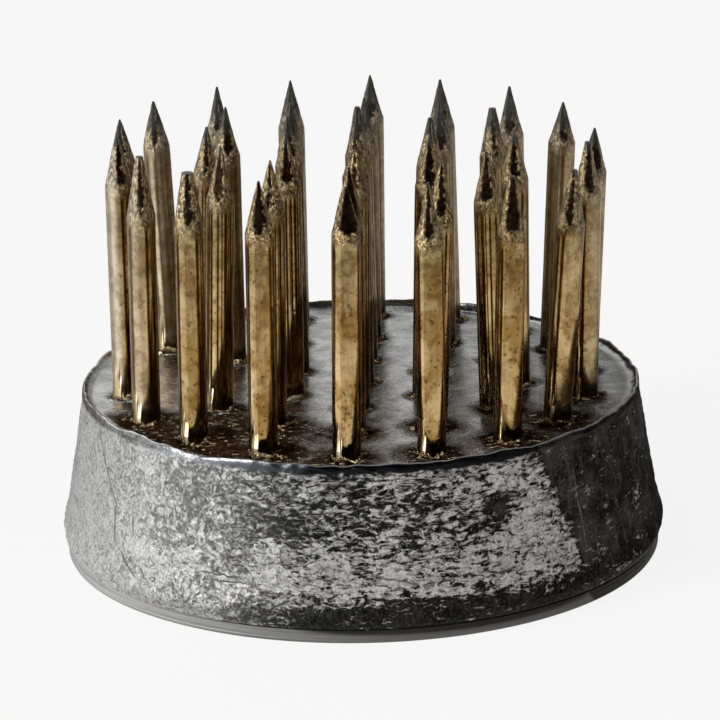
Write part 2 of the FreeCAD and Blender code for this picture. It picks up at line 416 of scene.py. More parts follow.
# The underside: flat, in rings that halve towards the middle.
ring = list(range(SIDES))
radius = BELLY_RADIUS - FOOT_IN - FOOT_BEVEL
while len(ring) > 10:
    radius *= 0.86
    count = len(ring) // 2
    inner = []
    for side in range(count):
        inner.append(add_spot(round_place(math.tau * side / count, radius, 0.0), turned=1.0))
    for side in range(count):
        after = (side + 1) % count
        near, mid, far = ring[2 * side], ring[2 * side + 1], ring[(2 * side + 2) % len(ring)]
        faces.append((near, mid, inner[side]))
        faces.append((mid, far, inner[after]))
        faces.append((mid, inner[after], inner[side]))
    ring = inner
faces.append(tuple(ring))

mesh = bpy.data.meshes.new("lead_casting")
mesh.from_pydata([tuple(c * MM for c in spot) for spot in spots], [], faces)
for name, values in marked.items():
    mesh.attributes.new(name, "FLOAT", "POINT").data.foreach_set("value", values)
shell = bmesh.new()
shell.from_mesh(mesh)
bmesh.ops.recalc_face_normals(shell, faces=shell.faces)
shell.to_mesh(mesh)
shell.free()
mesh.shade_smooth()
mesh.set_sharp_from_angle(angle=math.radians(50))


def show(name, data):
    """Puts an object with this mesh, light or camera in the scene."""
    thing = bpy.data.objects.new(name, data)
    bpy.context.scene.collection.objects.link(thing)
    return thing


lead_casting = show("lead_casting", mesh)


def place_node(tree, kind, **settings):
    """Adds a node, sets its properties, and returns it."""
    node = tree.nodes.new(kind)
    for key, value in settings.items():
        setattr(node, key, value)
    return node


def feed(node, **wires):
    """Joins or fills inputs of a node: in_0 is its first input, and other names are its own."""
    for key, source in wires.items():
        socket = node.inputs[int(key[3:])] if key.startswith("in_") else node.inputs[key.replace("_", " ")]
        source = source.socket if isinstance(source, Wire) else source
        if isinstance(source, bpy.types.NodeSocket):
            node.id_data.links.new(source, socket)
        else:
            socket.default_value = source
    return node


def work(operation, *sources):
    """A Math node on wires and numbers, at least one of them a wire."""
    tree = next(source.socket.id_data for source in sources if isinstance(source, Wire))
    node = place_node(tree, "ShaderNodeMath", operation=operation)
    feed(node, **{f"in_{index}": source for index, source in enumerate(sources)})
    return Wire(node.outputs[0])


class Wire:
    """What comes out of a node. A sum written with it adds Math nodes to the same tree."""

    def __init__(self, socket):
        self.socket = socket

    def __add__(self, other):
        return work("ADD", self, other)

    def __sub__(self, other):
        return work("SUBTRACT", self, other)

    def __rsub__(self, other):
        return work("SUBTRACT", other, self)

    def __mul__(self, other):
        return work("MULTIPLY", self, other)

    def __truediv__(self, other):
        return work("DIVIDE", self, other)


greater = partial(work, "MAXIMUM")
lesser = partial(work, "MINIMUM")
cosine = partial(work, "COSINE")


def clamped(wire):
    """The same sum, held between 0 and 1."""
    wire.socket.node.use_clamp = True
    return wire


def ramp_of(value, low, high, to_low=0.0, to_high=1.0, curve="SMOOTHSTEP"):
    """A step of value from low to high, smooth unless the curve is LINEAR."""
    node = place_node(value.socket.id_data, "ShaderNodeMapRange", interpolation_type=curve)
    feed(node, Value=value, From_Min=low, From_Max=high, To_Min=to_low, To_Max=to_high)
    return Wire(node.outputs[0])


def blend_of(part, first, second):
    """A mix of two colours, each a wire or red, green and blue; part is the share of the second."""
    node = place_node(part.socket.id_data, "ShaderNodeMix", data_type="RGBA")
    first, second = (tone if isinstance(tone, Wire) else (*tone, 1) for tone in (first, second))
    feed(node, in_0=part, in_6=first, in_7=second)
    return Wire(node.outputs[2])


def named_of(tree, name):
    """A number that the mesh carries under this name."""
    return Wire(place_node(tree, "ShaderNodeAttribute", attribute_name=name).outputs["Fac"])


def noise_of(vector, scale, detail, rough=0.55, distortion=0.0, output="Fac"):
    """Noise from 0 to 1 at a place, with this many lumps to the millimetre."""
    node = place_node(vector.socket.id_data, "ShaderNodeTexNoise")
    feed(node, Vector=vector, Scale=scale, Detail=detail, Roughness=rough, Distortion=distortion)
    return Wire(node.outputs[output])


def vector_of(operation, first, output="Vector", **wires):
    """A Vector Math node on a wire."""
    node = place_node(first.socket.id_data, "ShaderNodeVectorMath", operation=operation)
    return Wire(feed(node, in_0=first, **wires).outputs[output])


def length_of(vector):
    """How long a vector is."""
    return vector_of("LENGTH", vector, "Value")


def joined_of(tree, **numbers):
    """A vector put together from its X, Y and Z."""
    return Wire(feed(place_node(tree, "ShaderNodeCombineXYZ"), **numbers).outputs[0])


def parts_of(vector):
    """The x, y and z of a vector."""
    node = feed(place_node(vector.socket.id_data, "ShaderNodeSeparateXYZ"), in_0=vector)
    return [Wire(socket) for socket in node.outputs]


def millimetres_of(tree, stretch=(1.0, 1.0, 1.0), stir=0.0):
    """The place on the piece in millimetres, drawn out or squeezed by stretch, and stirred."""
    place = Wire(place_node(tree, "ShaderNodeTexCoord").outputs["Object"])
    scaled = vector_of("SCALE", place, Scale=1 / MM)
    stretched = vector_of("MULTIPLY", scaled, in_1=stretch)
    if not stir:
        return stretched
    swing = noise_of(scaled, 0.8, 2.0, output="Color")
    return vector_of("MULTIPLY_ADD", swing, in_1=(stir, stir, stir), in_2=stretched)


SOCKET_KINDS = {
    "Vector": "NodeSocketVector", "Finish": "NodeSocketMaterial", "Geometry": "NodeSocketGeometry",
}


def start_group(name, kind, inputs, result):
    """A node group with one result; returns the group, its inputs by name, and its end node."""
    group = bpy.data.node_groups.new(name, kind)
    for label in inputs:
        socket_kind = SOCKET_KINDS.get(label, "NodeSocketFloat")
        group.interface.new_socket(label, in_out="INPUT", socket_type=socket_kind)
    socket_kind = SOCKET_KINDS.get(result, "NodeSocketFloat")
    group.interface.new_socket(result, in_out="OUTPUT", socket_type=socket_kind)
    enter = {socket.name: Wire(socket) for socket in place_node(group, "NodeGroupInput").outputs}
    return group, enter, place_node(group, "NodeGroupOutput")


def make_pits():
    """Group: small dark pits scattered at a given scale; Share is how many cells hold one."""
    group, enter, leave = start_group("pits", "ShaderNodeTree", ("Vector", "Scale", "Share", "Size"), "Mask")
    cells = place_node(group, "ShaderNodeTexVoronoi")
    feed(cells, Vector=enter["Vector"], Scale=enter["Scale"])
    chance, girth, _ = parts_of(Wire(cells.outputs["Color"]))
    chosen = work("LESS_THAN", chance, enter["Share"])
    inside = ramp_of(Wire(cells.outputs["Distance"]), enter["Size"] * (girth + 0.4), 0.0)
    feed(leave, Mask=inside * chosen)
    return group


PITS = make_pits()


def pits_of(vector, scale, chosen, size):
    """Where the pits are: 1 in the middle of each, falling to 0 at its edge."""
    group = place_node(vector.socket.id_data, "ShaderNodeGroup", node_tree=PITS)
    feed(group, Vector=vector, Scale=scale, Share=chosen, Size=size)
    return Wire(group.outputs[0])


def make_scratch():
    """Group: a thin scratch along one measure, its line bent and wobbling across the other."""
    inputs = ("Along", "Across", "Wobble", "From", "To", "Slant", "Width")
    group, enter, leave = start_group("scratch", "ShaderNodeTree", inputs, "Mask")
    gone = enter["Along"] - enter["From"]
    off = work("ABSOLUTE", enter["Across"] - gone * enter["Slant"] + enter["Wobble"])
    begun = ramp_of(gone, 0.0, 0.4)
    ended = ramp_of(enter["To"] - enter["Along"], 0.0, 0.4)
    feed(leave, Mask=begun * ended * ramp_of(off, enter["Width"], 0.0))
    return group


SCRATCH = make_scratch()
# Scratches in the wall, in millimetres round from the front and up: what each runs along, where
# it starts and ends, where it crosses at its start, how it slants, and its width.
SCRATCHES = [
    ("up", 5.2, 9.2, -16.2, -0.88, 0.20), ("up", 3.3, 5.7, -16.1, -0.20, 0.17),
    ("up", 1.9, 3.5, -13.7, -1.50, 0.22), ("up", 2.1, 2.9, -12.9, -1.30, 0.14),
    ("up", 4.1, 5.6, -14.5, -0.25, 0.08), ("round", 0.1, 3.0, 3.82, -0.19, 0.085),
    ("round", 0.4, 1.6, 3.34, -0.20, 0.07), ("round", 7.2, 8.9, 3.26, 0.10, 0.075),
    ("round", -9.6, -6.8, 3.35, 0.02, 0.06), ("round", -8.8, -5.9, 3.05, 0.03, 0.05),
]
PALE_SCRATCHES = [("up", 3.2, 8.2, 13.75, -0.08, 0.07), ("up", 2.2, 4.6, 14.6, 0.05, 0.05)]
# The ghost of a bubble: round from the front, up, and its radius.
BUBBLE = (-4.13, 4.75, 0.52)


def scratches_of(marks, around, height, wobble):
    """Where the scratches in one of the lists above are."""
    mask = 0.0
    for runs, start, end, crosses, slant, width in marks:
        along, across = (height, around) if runs == "up" else (around, height)
        group = place_node(around.socket.id_data, "ShaderNodeGroup", node_tree=SCRATCH)
        feed(group, Along=along, Across=across - crosses, Wobble=wobble)
        feed(group, From=start, To=end, Slant=slant, Width=width)
        mask = greater(Wire(group.outputs[0]), mask)
    return mask


def start_look(owner, kind, end="ShaderNodeOutputMaterial"):
    """Clears the nodes of a material or a world; returns its tree and its one shader."""
    owner.use_nodes = True
    tree = owner.node_tree
    tree.nodes.clear()
    shader = place_node(tree, kind)
    feed(place_node(tree, end), Surface=shader.outputs[0])
    return tree, shader


def raise_bump(shader, relief, distance, strength):
    """Lets the light see small relief on a shader; distance is how high a relief of 1 stands."""
    bump = feed(place_node(shader.id_data, "ShaderNodeBump"), Height=relief)
    feed(bump, Distance=distance, Strength=strength)
    feed(shader, Normal=bump.outputs[0])


def make_lead():
    """Old cast lead: bright worn scabs over dark oxide, a smooth lip and foot, a dull bed; painted shade
    darkens the front and right, and the crest carries a painted highlight.
    """
    material = bpy.data.materials.new("cast_lead")
    tree, shader = start_look(material, "ShaderNodeBsdfPrincipled")
    rolled, bed, turned, seam, wear, grime, stain, crest, bead = (named_of(tree, name) for name in MARKS)
    drawn = millimetres_of(tree, (1.0, 1.0, 2.4), 0.7)
    even = millimetres_of(tree, (1.0, 1.0, 1.0), 0.5)
    fine = noise_of(even, 6.0, 4.0, 0.65, 0.3)
    # The skin: curled like cold dross on the left, drawn out sideways in the dark front.
    curls = noise_of(even, 1.4, 5.0, 0.60, 2.2)
    scabs = noise_of(drawn, 1.9, 6.0, 0.68, 0.7)
    patches = noise_of(even, 0.42, 2.0, 0.5, 0.3)
    skin_mix = place_node(tree, "ShaderNodeMix", data_type="FLOAT")
    feed(skin_mix, in_0=ramp_of(grime, 0.35, 0.75), in_2=curls, in_3=scabs)
    clumps = (noise_of(drawn, 0.8, 2.0) - 0.5) * ramp_of(grime, 0.3, 1.0, 0.0, 0.42)
    level = Wire(skin_mix.outputs[0]) * 1.25 - 0.12 + (wear * 0.38 - 0.19) + (patches * 0.24 - 0.12)
    level = level + clumps + (fine * 0.16 - 0.08)
    # The edges of the bright scabs are soft on the left and crisp where the hollows are black.
    spread = ramp_of(grime, 0.1, 0.9, 0.10, 0.06)
    worn = clamped((level - 0.5) / spread * 0.5 + 0.5)
    # Worm tracks: thin lines that follow the level of a stirred noise.
    worms = noise_of(even, 0.9, 2.0, 0.55, 1.6)
    bands = work("PINGPONG", worms * 11.0, 0.5)
    broken = noise_of(even, 1.3, 2.0)
    tracks = ramp_of(bands, 0.13, 0.02) * ramp_of(broken, 0.44, 0.54)
    pits = pits_of(drawn, 1.3, 0.30, 0.22)
    # The hollows hold dark oxide, painted darker from the front rightwards as shade.
    oxide_and_shade = ramp_of(grime, 0.0, 0.85)
    hollow = blend_of(oxide_and_shade, (0.21, 0.21, 0.207), (0.003, 0.003, 0.003))
    hollow_light = blend_of(oxide_and_shade, (0.32, 0.32, 0.31), (0.036, 0.036, 0.034))
    hollow = blend_of(ramp_of(fine, 0.44, 0.62), hollow, hollow_light)
    bright = blend_of(ramp_of(fine, 0.38, 0.60), (0.37, 0.37, 0.36), (0.58, 0.58, 0.56))
    rubbed_right = blend_of(ramp_of(fine, 0.38, 0.60), (0.48, 0.48, 0.465), (0.76, 0.76, 0.735))
    bright = blend_of(ramp_of(grime, 0.85, 1.0), bright, rubbed_right)
    wall = blend_of(worn, hollow, bright)
    # Tracks and dark scratches are painted blacker from the front rightwards as shade.
    mark = blend_of(grime, (0.15, 0.15, 0.147), (0.015, 0.015, 0.014))
    wall = blend_of(tracks * 0.6, wall, mark)
    wall = blend_of(pits, wall, (0.02, 0.02, 0.019))
    # Upright rub marks show on the smooth dark stretch.
    rubs = noise_of(millimetres_of(tree, (1.0, 1.0, 0.16), 0.2), 2.2, 5.0, 0.68)
    x, y, height = parts_of(millimetres_of(tree))
    dull = ramp_of(wear, 0.20, 0.0) * ramp_of(height, 1.7, 3.2, 0.25, 1.0)
    wall = blend_of(dull * ramp_of(rubs, 0.50, 0.70) * 0.30, wall, (0.25, 0.25, 0.245))
    wall = blend_of(dull * ramp_of(patches, 0.44, 0.62) * 0.30, wall, (0.13, 0.13, 0.127))
    # Scratches, by distance round the wall and height.
    around = work("ARCTAN2", x, y * -1.0) * (BELLY_RADIUS - 0.6)
    wobble = broken * 0.4 - 0.2
    dark_line = scratches_of(SCRATCHES, around, height, wobble) * ramp_of(fine, 0.35, 0.5)
    pale_line = scratches_of(PALE_SCRATCHES, around, height, wobble) * ramp_of(fine, 0.35, 0.5)
    wall = blend_of(dark_line * 0.85, wall, mark)
    wall = blend_of(pale_line * 0.45, wall, (0.35, 0.35, 0.34))
    # The ghost of a bubble: a small ring, duller inside.
    bubble_around, bubble_height, bubble_radius = BUBBLE
    off_ring = joined_of(tree, X=around - bubble_around, Y=(height - bubble_height) * 0.85)
    ring_reach = length_of(off_ring) + wobble * 1.2
    inside_ring = ramp_of(ring_reach, bubble_radius, bubble_radius - 0.10, 0.0, 0.30)
    wall = blend_of(inside_ring, wall, (0.10, 0.098, 0.09))
    ring_line = ramp_of(work("ABSOLUTE", ring_reach - bubble_radius), 0.09, 0.02)
    ring_line = ring_line * ramp_of(fine, 0.40, 0.55, 0.1, 0.9)
    wall = blend_of(ring_line, wall, (0.02, 0.018, 0.014))
    # The turned foot: plain grey with fine rings, painted darker towards the right as shade, and darker
    # still where the wall above is dark.
    rings = noise_of(millimetres_of(tree, (0.06, 0.06, 9.0)), 1.0, 3.0)
    foot = blend_of(ramp_of(rings, 0.35, 0.65), (0.20, 0.20, 0.196), (0.50, 0.50, 0.49))
    foot = blend_of(grime, foot, (0.145, 0.145, 0.141))
    foot = blend_of(ramp_of(wear, 0.28, 0.12), foot, (0.028, 0.028, 0.027))
    # The bed: dull grey lead with a soft drift of darker oxide, painted darker to the right and against the
    # rim as shade, and dark brown against the pins.
    drift = noise_of(even, 0.7, 4.0, 0.6)
    bed_tone = blend_of(ramp_of(drift, 0.38, 0.62), (0.57, 0.58, 0.583), (0.83, 0.84, 0.844))
    bed_tone = blend_of(ramp_of(grime, 0.38, 0.95, 0.0, 0.52), bed_tone, (0.18, 0.182, 0.18))
    bed_tone = blend_of(ramp_of(stain, 0.15, 0.68, 0.0, 0.98), bed_tone, (0.085, 0.047, 0.020))
    bed_tone = blend_of(ramp_of(stain, 0.70, 1.00, 0.0, 0.75), bed_tone, (0.036, 0.018, 0.008))
    # Bright spatter frozen in the dark brown as beads, and small specks there painted bright as glints.
    spatter_glints = noise_of(millimetres_of(tree, (0.7, 1.2, 1.0), 0.2), 3.4, 2.0, 0.5)
    spatter_glints = ramp_of(spatter_glints, 0.625, 0.665) * ramp_of(stain, 0.25, 0.55)
    bed_tone = blend_of(spatter_glints, bed_tone, (0.97, 0.82, 0.54))
    bed_tone = blend_of(bead, bed_tone, (0.84, 0.69, 0.44))
    # The lip: blue-grey on the left and painted black at the front and right as shade; its crest rubbed
    # brighter, with a painted highlight brightest on the left.
    lip_shade = ramp_of(grime, 0.40, 0.88)
    lip = blend_of(lip_shade, (0.15, 0.156, 0.166), (0.016, 0.017, 0.019))
    lip = blend_of(ramp_of(wear, 0.30, 0.12, 0.0, 0.7), lip, (0.075, 0.076, 0.075))
    rubbed_and_highlit = blend_of(lip_shade, (0.94, 0.945, 0.955), (0.36, 0.36, 0.365))
    tone = blend_of(turned, wall, foot)
    tone = blend_of(bed, tone, bed_tone)
    ragged = ramp_of(rolled + (broken * 1.6 - 0.8), 0.20, 0.80) * ramp_of(rolled, 0.0, 0.3)
    ragged = ragged * ramp_of(grime, 0.1, 0.6, 0.25, 1.0)
    tone = blend_of(ragged, tone, lip)
    # Along the smooth dark stretch on the right the crest is a broader grey line, a painted reflection.
    greyed = ramp_of(wear, 0.30, 0.12) * ramp_of(rolled, 0.0, 0.3)
    crest_highlight = ramp_of(crest, ramp_of(grime, 0.5, 0.95, 0.0, 0.45), 1.0, 0.0, 0.9)
    broad_reflection = greyed * ramp_of(crest, 0.0, 0.5, 0.0, ramp_of(broken, 0.40, 0.58, 0.45, 1.0))
    crest_highlight = greater(crest_highlight, broad_reflection * 0.85)
    tone = blend_of(crest_highlight, tone, rubbed_and_highlit)
    # The groove is painted near black: a painted shadow under the wall's edge.
    tone = blend_of(seam, tone, (0.015, 0.015, 0.014))
    feed(shader, Base_Color=tone)
    metal = greater(worn * 0.25 + 0.2, greater(rolled, bed))
    dull_crest = greater(crest * ramp_of(grime, 0.5, 1.0, 0.0, 0.75), spatter_glints * bed * 0.40)
    feed(shader, Metallic=clamped(metal - dull_crest))
    feed(shader, Specular_IOR_Level=0.3, Specular_Tint=(0.38, 0.365, 0.34, 1))
    gloss = ramp_of(fine, 0.3, 0.7, 0.62, 0.50) - bed * 0.30 - rolled * 0.32
    feed(shader, Roughness=gloss - stain * 0.17 - crest_highlight * 0.10)
    open_wall = clamped(1.0 - greater(rolled, greater(bed, turned)))
    relief = (worn - (tracks + dark_line * 2.0) - pits) * open_wall
    relief = relief + fine * (bed * -0.42 + 0.5) + rings * turned * 0.8
    # Small frozen wrinkles in the bed, sharpest in the dark brown round the pins.
    wrinkles = noise_of(millimetres_of(tree, (1.0, 1.5, 1.0), 0.3), 3.0, 4.0, 0.62, 0.8)
    relief = relief + wrinkles * (bed * (stain * 26.0 + 0.45))
    raise_bump(shader, relief, 0.04 * MM, 0.8)
    return material


lead_casting.data.materials.append(make_lead())
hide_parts("lead_base")
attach(lead_casting, "root")

# ------------------------------
# Pins. Round brass wire cut to length, each ground by hand to a rough point, with the other end
# frozen into the lead. One tree draws a pin; each pin takes its length, lean and point from its
# place in the frame.
# ------------------------------
PIN_ROWS = 56
PIN_SIDES = 48
# The share of the rows that lie on the wire below the point.
WIRE_SHARE = 0.36
PIN_INPUTS = (
    "Wire Radius", "Length", "Point Length", "Tip Radius", "Grind Depth", "Dent Depth", "Facet Turn",
    "Facet Cut", "Hollow", "Outward", "Outer Haze", "Haze", "Soot Reach", "Wetting", "Wetted Side",
    "Buried", "Seed", "Finish",
)
# Every corner of a pin carries one number of each of these, which the material reads.
PIN_MARKS = ("ground", "standing", "sooted", "polish", "haze", "wetted_highlight")
# Strokes on the wheel: how far round each is from the first, and its share of the first's depth.
STROKES = ((0.0, 1.0), (2.0, 0.8), (-2.3, 0.6))


def make_pin_tree():
    """Geometry tree: one ground pin, standing on the origin with its point up."""
    tree, enter, leave = start_group("ground_pin", "GeometryNodeTree", PIN_INPUTS, "Geometry")
    place = Wire(place_node(tree, "GeometryNodeInputPosition").outputs[0])
    x, y, z = parts_of(place)
    straight = enter["Length"] - enter["Point Length"]
    line = feed(place_node(tree, "GeometryNodeCurvePrimitiveLine"), Start=(0, 0, 0), End=(0, 0, 1))
    rows = feed(place_node(tree, "GeometryNodeResampleCurve"), Curve=line.outputs[0], Count=PIN_ROWS)
    along = Wire(place_node(tree, "GeometryNodeSplineParameter").outputs["Factor"])
    wire_part = ramp_of(along, 0.0, WIRE_SHARE, 0.0, straight, "LINEAR")
    cone_part = ramp_of(along, WIRE_SHARE, 1.0, 0.0, enter["Point Length"], "LINEAR")
    stand = feed(place_node(tree, "GeometryNodeSetPosition"), Geometry=rows.outputs[0])
    feed(stand, Position=joined_of(tree, Z=wire_part + cone_part))
    width = ramp_of(z, straight, enter["Length"], enter["Wire Radius"], enter["Tip Radius"], "LINEAR")
    girth = feed(place_node(tree, "GeometryNodeSetCurveRadius"), Curve=stand.outputs[0], Radius=width)
    circle = feed(place_node(tree, "GeometryNodeCurvePrimitiveCircle"), Resolution=PIN_SIDES, Radius=1.0)
    tube = feed(place_node(tree, "GeometryNodeCurveToMesh"), Curve=girth.outputs[0], Fill_Caps=True)
    feed(tube, Profile_Curve=circle.outputs[0], Scale=place_node(tree, "GeometryNodeInputRadius").outputs[0])

    shift = joined_of(tree, X=enter["Seed"], Y=enter["Seed"] * 1.7)
    moved = vector_of("ADD", vector_of("SCALE", place, Scale=1 / MM), in_1=shift)
    ragged = noise_of(moved, 2.2, 2.0)
    coarse = noise_of(moved, 1.5, 1.0)
    grit = noise_of(moved, 4.5, 2.0)
    dents = noise_of(moved, 0.5, 1.0)
    # The ground part starts at a ragged line a little below the shoulder.
    above_line = z - straight + (ragged - 0.4) * (0.6 * MM)
    ground = ramp_of(above_line, -0.08 * MM, 0.12 * MM)
    standing = (z - enter["Buried"]) * (1 / MM)
    # The point is blackened from its tip down.
    left = (ragged - 0.5) * 0.8 + (enter["Length"] - z) / enter["Soot Reach"]
    sooted = ramp_of(left, 1.2, 0.5)
    # Each stroke on the wheel leaves a flat that runs from the shoulder to the point.
    bearing = work("ARCTAN2", y, x)
    kept = 1.0
    for turn, part in STROKES:
        facing = greater(cosine(bearing - (enter["Facet Turn"] + turn)), 0.05)
        kept = lesser((1.0 - enter["Facet Cut"] * part) / facing, kept)
    up_point = ramp_of(z, straight, enter["Length"], curve="LINEAR")
    bowed = work("SINE", up_point * math.pi)
    lost = (kept - 1.0) * ramp_of(up_point, 0.0, 0.12) - bowed * enter["Hollow"]
    # The first stroke is the last one made: it is smooth, the rest stays torn and rough.
    half_width = (enter["Facet Cut"] * 4.2 + 0.16) * work("SQRT", ramp_of(up_point, 0.0, 0.25))
    half_width = half_width + (ragged * 0.55 - 0.30) + (grit * 0.9 - 0.45)
    within = cosine(bearing - enter["Facet Turn"]) - cosine(greater(half_width, 0.0))
    polish = ramp_of(within, -0.015, 0.035) * ground * ramp_of(up_point, 0.01, 0.05)
    # A dull film on the side that faces out of the holder, which the material paints pale as sheen.
    outward_sheen = ramp_of(cosine(bearing - enter["Outward"]), -0.1, 0.75) * enter["Outer Haze"]
    haze = greater(outward_sheen, enter["Haze"])
    # Lead has crept a little way up one side: widest at the bed, and running out to nothing above.
    # The material paints this strip pale gold: a painted highlight on the side that faces the window.
    low_enough = (ragged - 0.5) * 1.6 + standing
    bound = 1.0 - enter["Wetting"] * ramp_of(low_enough, 2.3, -0.3)
    crept = cosine(bearing - enter["Wetted Side"]) - bound
    wetted_highlight = ramp_of(crept, 0.0, 0.03) * ramp_of(low_enough, 2.3, 1.5)

    geometry = tube.outputs[0]
    for name, value in zip(PIN_MARKS, (ground, standing, sooted, polish, haze, wetted_highlight)):
        keep = place_node(tree, "GeometryNodeStoreNamedAttribute", data_type="FLOAT", domain="POINT")
        geometry = feed(keep, Geometry=geometry, Name=name, Value=value).outputs[0]
    # Grinding tears the point roughly; the wire below has a few soft dents.
    torn = (coarse - 0.55 + (grit - 0.5) * 0.5) * ground * enter["Grind Depth"]
    torn = lesser(torn * (polish * -0.85 + 1.0), 0.012 * MM)
    level_place = vector_of("MULTIPLY", place, in_1=(1.0, 1.0, 0.0))
    push = torn + lost * length_of(level_place) + (dents - 0.6) * enter["Dent Depth"]
    offset = vector_of("SCALE", vector_of("NORMALIZE", level_place), Scale=push)
    worn = feed(place_node(tree, "GeometryNodeSetPosition"), Geometry=geometry, Offset=offset)
    smooth = feed(place_node(tree, "GeometryNodeSetShadeSmooth"), Geometry=worn.outputs[0])
    whole = feed(place_node(tree, "GeometryNodeRealizeInstances"), Geometry=smooth.outputs[0])
    dress = feed(place_node(tree, "GeometryNodeSetMaterial"), Geometry=whole.outputs[0])
    feed(dress, Material=enter["Finish"])
    feed(leave, Geometry=dress.outputs[0])
    return tree


def make_brass():
    """Old brass wire: tan, mottled brown, pitted, dark brown at the foot, with painted sheen and highlights;
    the point rough and dark, with painted glints and a painted dark reflection.
    """
    material = bpy.data.materials.new("old_brass")
    tree, shader = start_look(material, "ShaderNodeBsdfPrincipled")
    ground, standing, sooted, polish, haze, wetted_highlight = (named_of(tree, name) for name in PIN_MARKS)
    even = millimetres_of(tree, (1.0, 1.0, 1.0), 0.12)
    tall = millimetres_of(tree, (1.0, 1.0, 0.6), 0.15)
    clouds = noise_of(tall, 0.75, 3.0, 0.55)
    speckle = noise_of(even, 1.7, 5.0, 0.66, 0.2)
    tan = blend_of(ramp_of(clouds, 0.36, 0.62), (0.525, 0.376, 0.182), (0.32, 0.194, 0.060))
    brown = ramp_of(speckle, 0.46, 0.61) * ramp_of(clouds, 0.38, 0.58, 0.30, 1.0)
    tan = blend_of(brown * 0.92, tan, (0.215, 0.118, 0.030))
    # Short dark dashes, thickest in the brown clouds.
    flecks = noise_of(millimetres_of(tree, (1.0, 1.0, 0.8), 0.1), 4.2, 2.0, 0.5)
    flecks = ramp_of(flecks, 0.60, 0.66) * ramp_of(clouds, 0.36, 0.54, 0.25, 1.0)
    tan = blend_of(flecks * 0.8, tan, (0.085, 0.042, 0.011))
    # The upper half has dulled and browned.
    aged = ramp_of(standing, 6.0, 13.0) * ramp_of(speckle, 0.40, 0.62, 0.15, 0.85)
    tan = blend_of(aged, tan, (0.19, 0.112, 0.036))
    # Drawing lines up the wire.
    drawn = noise_of(millimetres_of(tree, (1.0, 1.0, 0.05), 0.05), 9.0, 3.0, 0.6)
    tan = blend_of(ramp_of(drawn, 0.50, 0.66, 0.0, 0.35), tan, (0.18, 0.105, 0.035))
    pinholes = pits_of(even, 3.6, 0.34, 0.24) * ramp_of(clouds, 0.42, 0.55)
    holes = greater(pits_of(even, 1.9, 0.26, 0.20), pinholes)
    tan = blend_of(holes * 0.85, tan, (0.060, 0.032, 0.010))
    # A pale film, painted as sheen where the window's glare falls, on the wire and on the point.
    film_sheen = blend_of(ramp_of(speckle, 0.44, 0.58), (0.70, 0.65, 0.54), (0.54, 0.48, 0.37))
    tan = blend_of(haze * 0.75, tan, film_sheen)
    # Rough torn metal: brown-black in its hollows, bright where it was touched last.
    grit = noise_of(millimetres_of(tree, (1.0, 1.0, 0.5), 0.1), 6.5, 4.0, 0.7, 0.3)
    torn = blend_of(ramp_of(grit, 0.40, 0.60), (0.085, 0.058, 0.030), (0.52, 0.38, 0.19))
    torn = blend_of(ramp_of(speckle, 0.53, 0.60, 0.0, 0.8), torn, (0.055, 0.033, 0.017))
    sooty = sooted * 0.9
    # The smooth last facet is painted near black: a painted reflection of the dark room.
    dark_facet_reflection = blend_of(ramp_of(grit, 0.42, 0.62), (0.018, 0.010, 0.006), (0.062, 0.036, 0.022))
    # Painted glints: small bright gold specks on the torn metal, partly non-metallic so that they stay
    # bright.
    glints = noise_of(even, 6.0, 2.0, 0.5)
    glints = ramp_of(glints, 0.585, 0.63) * ramp_of(clouds, 0.36, 0.52, 1.0, 0.25)
    torn = blend_of(glints, torn, (0.98, 0.78, 0.42))
    torn_film_sheen = blend_of(ramp_of(grit, 0.40, 0.60), (0.20, 0.17, 0.13), (0.66, 0.61, 0.51))
    torn = blend_of(haze, torn, torn_film_sheen)
    filed = blend_of(polish, torn, dark_facet_reflection)
    filed = blend_of(sooty, filed, (0.036, 0.036, 0.030))
    tone = blend_of(ground, tan, filed)
    # Dark brown at the foot of the pin.
    stain = ramp_of(speckle * -1.2 + standing, 0.55, -0.05)
    tone = blend_of(stain * 0.85, tone, (0.045, 0.022, 0.010))
    # The crept strip is painted pale gold, a painted highlight on the side facing the window.
    tone = blend_of(wetted_highlight * 0.85, tone, (0.60, 0.475, 0.275))
    feed(shader, Base_Color=tone)
    # The torn metal scatters light, and soot is no metal at all.
    scatter = (1.0 - polish) * (glints * 0.25 + 0.40)
    scatter = greater(scatter, sooty * 0.8) * ground
    scatter = greater(scatter, haze * 0.35)
    feed(shader, Metallic=1.0 - scatter)
    gloss = ramp_of(clouds, 0.40, 0.60, 0.06, 0.12) + ground * 0.20 + haze * 0.42
    feed(shader, Roughness=gloss + holes * 0.15 + wetted_highlight * 0.16)
    rough_part = ground * (polish * -0.7 + 1.0)
    relief = grit * (rough_part * 6.5 + 0.14) - holes * 0.35
    # The crept lead is thicker lower down.
    relief = relief + (2.5 - standing) * (wetted_highlight * 11.0)
    raise_bump(shader, relief, 0.02 * MM, 0.7)
    return material


